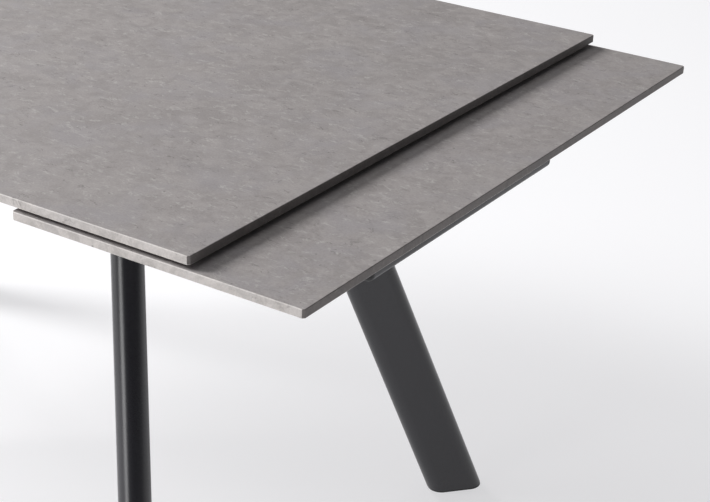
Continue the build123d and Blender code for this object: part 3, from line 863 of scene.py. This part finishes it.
# %% One bolt and one nut
HEAD_STEPS = 24
DOME_STEPS = 5
SIXTH_TURN = math.pi / 3
SOCKET_DEPTH, SOCKET_FLOOR, SOCKET_LIP = 0.55, 0.96, 0.05 * MM
SOCKET_MOUTH, DOME_START, DOME_RISE, HEAD_SEAT = 1.25, 1.35, 0.82, 0.985
TIP_CHAMFER, TIP_RADIUS = 0.25, 0.8
NUT_FACE, NUT_CHAMFER = 0.84, 0.12
THREAD_RADIUS, THREAD_START = 0.9, 0.1


def circle_ring(radius, height):
    """A level circle of points round the fastener's axis."""
    turns = [math.tau * step / HEAD_STEPS for step in range(HEAD_STEPS)]
    return [Vector((radius * math.cos(turn), radius * math.sin(turn), height)) for turn in turns]


def hexagon_ring(corner_radius, height):
    """A hexagon with as many points as a circle ring, so that the two can be skinned."""
    points = []
    for step in range(HEAD_STEPS):
        turn = math.tau * step / HEAD_STEPS
        off_flat = turn % SIXTH_TURN - SIXTH_TURN / 2
        reach = corner_radius * math.cos(SIXTH_TURN / 2) / math.cos(off_flat)
        points.append(Vector((reach * math.cos(turn), reach * math.sin(turn), height)))
    return points


def button_bolt(name, head, head_height, shank, length, socket):
    """A button-head bolt that hangs from height 0: head below, shank above."""
    floor = head_height * SOCKET_DEPTH - head_height
    dome = socket * DOME_START
    rings = [hexagon_ring(socket * SOCKET_FLOOR, floor), hexagon_ring(socket, SOCKET_LIP - head_height)]
    rings.append(circle_ring(socket * SOCKET_MOUTH, -head_height))
    for step in range(DOME_STEPS + 1):
        turn = math.pi / 2 * step / DOME_STEPS
        drop = head_height * DOME_RISE * (1 - math.cos(turn)) - head_height
        rings.append(circle_ring(dome + (head - dome) * math.sin(turn), drop))
    rings.append(circle_ring(head * HEAD_SEAT, 0))
    rings.append(circle_ring(shank, 0))
    rings.append(circle_ring(shank, length - shank * TIP_CHAMFER))
    rings.append(circle_ring(shank * TIP_RADIUS, length))
    return object_from(name, mesh_from_rings(name, rings))


def hex_nut(name, corner_radius, bore, height):
    """A plain nut: chamfered hexagon outside, and a bore with the thread's inner radius."""
    rings = [circle_ring(bore, 0), circle_ring(corner_radius * NUT_FACE, 0)]
    rings.append(hexagon_ring(corner_radius, height * NUT_CHAMFER))
    rings.append(hexagon_ring(corner_radius, height * (1 - NUT_CHAMFER)))
    rings.append(circle_ring(corner_radius * NUT_FACE, height))
    rings.append(circle_ring(bore, height))
    rings.append(circle_ring(bore * THREAD_RADIUS, height * (1 - THREAD_START)))
    rings.append(circle_ring(bore * THREAD_RADIUS, height * THREAD_START))
    return object_from(name, mesh_from_rings(name, rings, closed_loop=True))


print("a fastener ring has", HEAD_STEPS, "points")


# %% Read the places
def solid_boxes(node):
    """The box of each separate solid in a node."""
    shape = merged_copy(node)
    unseen, boxes = set(shape.verts), []
    while unseen:
        stack, solid = [unseen.pop()], []
        while stack:
            vertex = stack.pop()
            solid.append(vertex.co.copy())
            for edge in vertex.link_edges:
                other = edge.other_vert(vertex)
                if other in unseen:
                    unseen.remove(other)
                    stack.append(other)
        low = Vector([min(point[axis] for point in solid) for axis in range(3)])
        high = Vector([max(point[axis] for point in solid) for axis in range(3)])
        boxes.append((low, high))
    shape.free()
    return sorted(boxes, key=lambda box: tuple(round(value, 4) for value in box[0]))


def placed_fasteners(node, fastener, seat_above_low, seed):
    """Copies one fastener to each solid of a node, at that solid's middle."""
    places = []
    for low, high in solid_boxes(node):
        places.append(((low.x + high.x) / 2, (low.y + high.y) / 2, low.z + seat_above_low))
    mesh = bpy.data.meshes.new(f"{node}_places")
    mesh.from_pydata(places, [], [])
    values = {"Fastener": fastener, "Spin seed": seed, "Finish": black_oxide}
    made = run_tree(placing_tree, object_from(f"{node}_places", mesh), values)
    print(node, "copies one fastener to", len(places), "places")
    stands_for(smooth_shaded(object_from(f"{node}_set", made)), node)


# %% Place the fasteners
BOLT_HEAD, BOLT_HEAD_HEIGHT, BOLT_SHANK, BOLT_SOCKET = 7 * MM, 4.4 * MM, 3.9 * MM, 2.9 * MM
SCREW_HEAD, SCREW_HEAD_HEIGHT, SCREW_SHANK, SCREW_SOCKET = 5.2 * MM, 3.2 * MM, 2.9 * MM, 2 * MM
NUT_CORNER, NUT_BORE = 7.5 * MM, 4.0 * MM


def node_height(node):
    low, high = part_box(node)
    return high.z - low.z


def screw_for(name, node):
    """A screw as long as the ones in its node."""
    length = node_height(node) - SCREW_HEAD_HEIGHT
    return button_bolt(name, SCREW_HEAD, SCREW_HEAD_HEIGHT, SCREW_SHANK, length, SCREW_SOCKET)


bolt_length = node_height("leg_bolts") - BOLT_HEAD_HEIGHT
bolt = button_bolt("bolt_model", BOLT_HEAD, BOLT_HEAD_HEIGHT, BOLT_SHANK, bolt_length, BOLT_SOCKET)
nut = hex_nut("nut_model", NUT_CORNER, NUT_BORE, node_height("leg_nuts"))
top_screw = screw_for("top_screw_model", "top_screws")
leaf_screw = screw_for("leaf_screw_model", "leaf_screws_right")
placed_fasteners("leg_bolts", bolt, BOLT_HEAD_HEIGHT, seed=11)
placed_fasteners("leg_nuts", nut, 0, seed=12)
placed_fasteners("top_screws", top_screw, SCREW_HEAD_HEIGHT, seed=13)
placed_fasteners("leaf_screws_right", leaf_screw, SCREW_HEAD_HEIGHT, seed=14)
placed_fasteners("leaf_screws_left", leaf_screw, SCREW_HEAD_HEIGHT, seed=15)
for model in (bolt, nut, top_screw, leaf_screw):
    bpy.data.objects.remove(model)

# %% [markdown]
# ## Weld beads
# The legs, cross tubes, arms and bars are welded, and under the paint each joint shows a
# rippled bead. A bead is a thin tube swept along the joint's outline, with a radius that
# swells once per ripple, so a Geometry Nodes tree makes all the beads of a body from a
# mesh of bare edges. The outlines come from the joined pieces' own boxes and sections.

# %% Weld tree
WELD_RADIUS, WELD_PITCH, WELD_STEP = 1.4 * MM, 3.2 * MM, 0.8 * MM
WELD_SIDES = 6


def build_weld_tree():
    """A rippled bead along every path of a mesh of bare edges."""
    inputs = [
        ("Paths", GEOMETRY, None),
        ("Radius", FLOAT, WELD_RADIUS),
        ("Pitch", FLOAT, WELD_PITCH),
        ("Step", FLOAT, WELD_STEP),
        ("Ripple", FLOAT, 0.16),
        ("Finish", MATERIAL, None),
    ]
    tree, given, result = new_tree("weld_bead", "GeometryNodeTree", inputs, MESH_OUT)
    curve = put(tree, "GeometryNodeMeshToCurve", {"Mesh": given["Paths"]}).outputs[0]
    feeds = {"Curve": curve, "Length": given["Step"]}
    fine = put(tree, "GeometryNodeResampleCurve", feeds, mode="LENGTH").outputs[0]
    along = tree.nodes.new("GeometryNodeSplineParameter").outputs["Length"]
    turn = maths(tree, "MULTIPLY", maths(tree, "DIVIDE", along, given["Pitch"]), math.tau)
    wave = maths(tree, "MULTIPLY", maths(tree, "SINE", turn), given["Ripple"])
    radius = maths(tree, "MULTIPLY", maths(tree, "ADD", wave, 1.0), given["Radius"])
    profile = put(tree, "GeometryNodeCurvePrimitiveCircle", {"Resolution": WELD_SIDES, "Radius": 1.0})
    feeds = {"Curve": fine, "Profile Curve": profile.outputs[0], "Scale": radius, "Fill Caps": True}
    bead = put(tree, "GeometryNodeCurveToMesh", feeds).outputs[0]
    return end_geometry(tree, bead, given["Finish"], result)


weld_tree = build_weld_tree()
print("weld tree has", len(weld_tree.nodes), "nodes")

# %% Weld paths
WELD_TURN = TUBE_CORNER * 0.5
WELD_TURN_STEPS = 3
LEG_WELD_SINK = WELD_RADIUS * 0.4


def outline_around(box, across, at):
    """A closed path round a tube's section, in the plane where one coordinate equals at."""
    low, high = box
    first, second = [axis for axis in range(3) if axis != across]
    points = []
    for u, v, turn in ((high, high, 0), (low, high, 1), (low, low, 2), (high, low, 3)):
        centre = [at, at, at]
        centre[first] = u[first] - math.copysign(WELD_TURN, u[first] - (low[first] + high[first]) / 2)
        centre[second] = v[second] - math.copysign(WELD_TURN, v[second] - (low[second] + high[second]) / 2)
        for step in range(WELD_TURN_STEPS + 1):
            angle = math.pi / 2 * (turn + step / WELD_TURN_STEPS)
            point = list(centre)
            point[first] += WELD_TURN * math.cos(angle)
            point[second] += WELD_TURN * math.sin(angle)
            points.append(point)
    return points, True


def base_weld_paths():
    """Round the legs' heads and the cross tubes' ends, and along the rails over the bridges."""
    paths = []
    for corner in CORNERS:
        foot, head = leg_axis(corner)
        paths.append((leg_section(foot, head, 0, head.z - LEG_WELD_SINK), True))
    rail_low, rail_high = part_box("rail_back")
    for tube_box in solid_boxes("cross_tubes"):
        for side in SIDES.values():
            paths.append(outline_around(tube_box, 1, side * rail_low.y))
    for end in ENDS:
        low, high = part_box(f"bridge_{end}")
        for side in SIDES.values():
            for x in (low.x, high.x):
                inner = (x, side * (rail_low.y + TUBE_CORNER), high.z)
                outer = (x, side * (rail_high.y - TUBE_CORNER), high.z)
                paths.append(([inner, outer], False))
    return paths


def carriage_weld_paths(end):
    """Round the arms at the end bar, round the inner bar at the arms, and by the bearers."""
    paths = []
    bar_low, bar_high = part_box(f"end_bar_{end}")
    bar_face = bar_low.x if ENDS[end] > 0 else bar_high.x
    for side in SIDES:
        paths.append(outline_around(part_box(f"arm_{side}_{end}"), 0, bar_face))
        arm_low, arm_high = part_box(f"arm_{side}_{end}")
        inner_face = min(abs(arm_low.y), abs(arm_high.y))
        paths.append(outline_around(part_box(f"inner_bar_{end}"), 1, SIDES[side] * inner_face))
        for bearer in ("inner", "outer"):
            low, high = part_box(f"leaf_bearer_{bearer}_{end}")
            for x in (low.x, high.x):
                ends = (arm_low.y + TUBE_CORNER, arm_high.y - TUBE_CORNER)
                paths.append(([(x, y, low.z) for y in ends], False))
    return paths


# %% Lay the beads
def weld_piece(name, body, paths):
    """All the beads of one body as one piece."""
    points, edges = [], []
    for path, closed in paths:
        start = len(points)
        points.extend(tuple(point) for point in path)
        edges.extend((index, index + 1) for index in range(start, len(points) - 1))
        if closed:
            edges.append((len(points) - 1, start))
    mesh = bpy.data.meshes.new(f"{name}_paths")
    mesh.from_pydata(points, edges, [])
    beads = run_tree(weld_tree, object_from(f"{name}_paths", mesh), {"Finish": frame_coat})
    shape = bmesh.new()
    shape.from_mesh(beads)
    bmesh.ops.recalc_face_normals(shape, faces=shape.faces)
    shape.to_mesh(beads)
    shape.free()
    piece = smooth_shaded(object_from(name, beads))
    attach(piece, body)
    print(name, "has", len(paths), "beads and", len(beads.polygons), "faces")


weld_piece("base_welds", "base", base_weld_paths())
for end in ENDS:
    weld_piece(f"carriage_welds_{end}", f"{end}_leaf_carriage", carriage_weld_paths(end))

# %% [markdown]
# ## The floor and the light
# The table stands on a pale sweep that is lit from all round, so shadows on it stay faint.
# A little glow in the floor's finish stands for that light. One large soft light stands to
# the left, at about thirty degrees: it leaves the ends of the slabs dark and draws the
# top's shadow out along the leaf. A light low in front brightens the long edges without
# reaching into the gap under the top, and draws a bright line down the round side of a
# leg. Weaker ones stand on the left, overhead and behind. The world gives little light, but
# is seen pale above the far edge of the floor, so a low view has no dark band behind it.

# %% Floor
FLOOR_HALF = 40.0
FLOOR_COLOR = (0.43, 0.43, 0.435, 1)
GLOW_COLOR = (0.985, 0.98, 1.0, 1)
GLOW_STRENGTH = 0.59

floor_mesh = bpy.data.meshes.new("floor")
corners = [(-FLOOR_HALF, -FLOOR_HALF, 0), (FLOOR_HALF, -FLOOR_HALF, 0)]
corners += [(FLOOR_HALF, FLOOR_HALF, 0), (-FLOOR_HALF, FLOOR_HALF, 0)]
floor_mesh.from_pydata(corners, [], [(0, 1, 2, 3)])
floor = object_from("floor", floor_mesh)
floor_paint, tree, where = plain_material("studio_floor")
feeds = {"Base Color": FLOOR_COLOR, "Roughness": 0.8, "Specular IOR Level": 0.1}
end_tree(tree, {**feeds, "Emission Color": GLOW_COLOR, "Emission Strength": GLOW_STRENGTH})
floor.data.materials.append(floor_paint)
print("the floor is", 2 * FLOOR_HALF, "m square")

# %% Lights
AIM = Vector((0.45, 0.0, 0.6))
LIGHTS = {
    "key": {"place": (-7.7, -4.3, 6.0), "size": 3.4, "watts": 1290},
    "low_front": {"place": (-1.0, -5.4, 0.9), "size": 2.0, "watts": 72},
    "left": {"place": (-5.0, 2.4, 3.0), "size": 1.6, "watts": 90},
    "overhead": {"place": (-0.4, 0.2, 4.4), "size": 2.6, "watts": 36},
    "rim": {"place": (1.3, 5.2, 0.9), "size": 1.0, "watts": 11},
}


def soft_light(name, place, size, watts):
    """A square area light that faces the drawn-out end of the table."""
    data = bpy.data.lights.new(name, "AREA")
    data.shape = "SQUARE"
    data.size = size
    data.energy = watts
    light = bpy.data.objects.new(name, data)
    bpy.context.scene.collection.objects.link(light)
    light.location = place
    light.rotation_mode = "QUATERNION"
    light.rotation_quaternion = (AIM - Vector(place)).to_track_quat("-Z", "Y")


for name, settings in LIGHTS.items():
    soft_light(name, **settings)
print("lights:", ", ".join(LIGHTS))

# %% World
WORLD_COLOR = (0.9, 0.92, 0.96, 1)
WORLD_LIGHT, WORLD_SEEN = 0.1, 0.72

world = bpy.data.worlds.new("studio")
world.use_nodes = True
background = world.node_tree.nodes["Background"]
background.inputs["Color"].default_value = WORLD_COLOR
direct = put(world.node_tree, "ShaderNodeLightPath", {}).outputs["Is Camera Ray"]
feeds = {"Value": direct, "To Min": WORLD_LIGHT, "To Max": WORLD_SEEN}
strength = put(world.node_tree, "ShaderNodeMapRange", feeds).outputs["Result"]
world.node_tree.links.new(strength, background.inputs["Strength"])
bpy.context.scene.world = world
bpy.context.scene.view_settings.view_transform = "Standard"
print("the world gives", WORLD_LIGHT, "and is seen at", WORLD_SEEN)
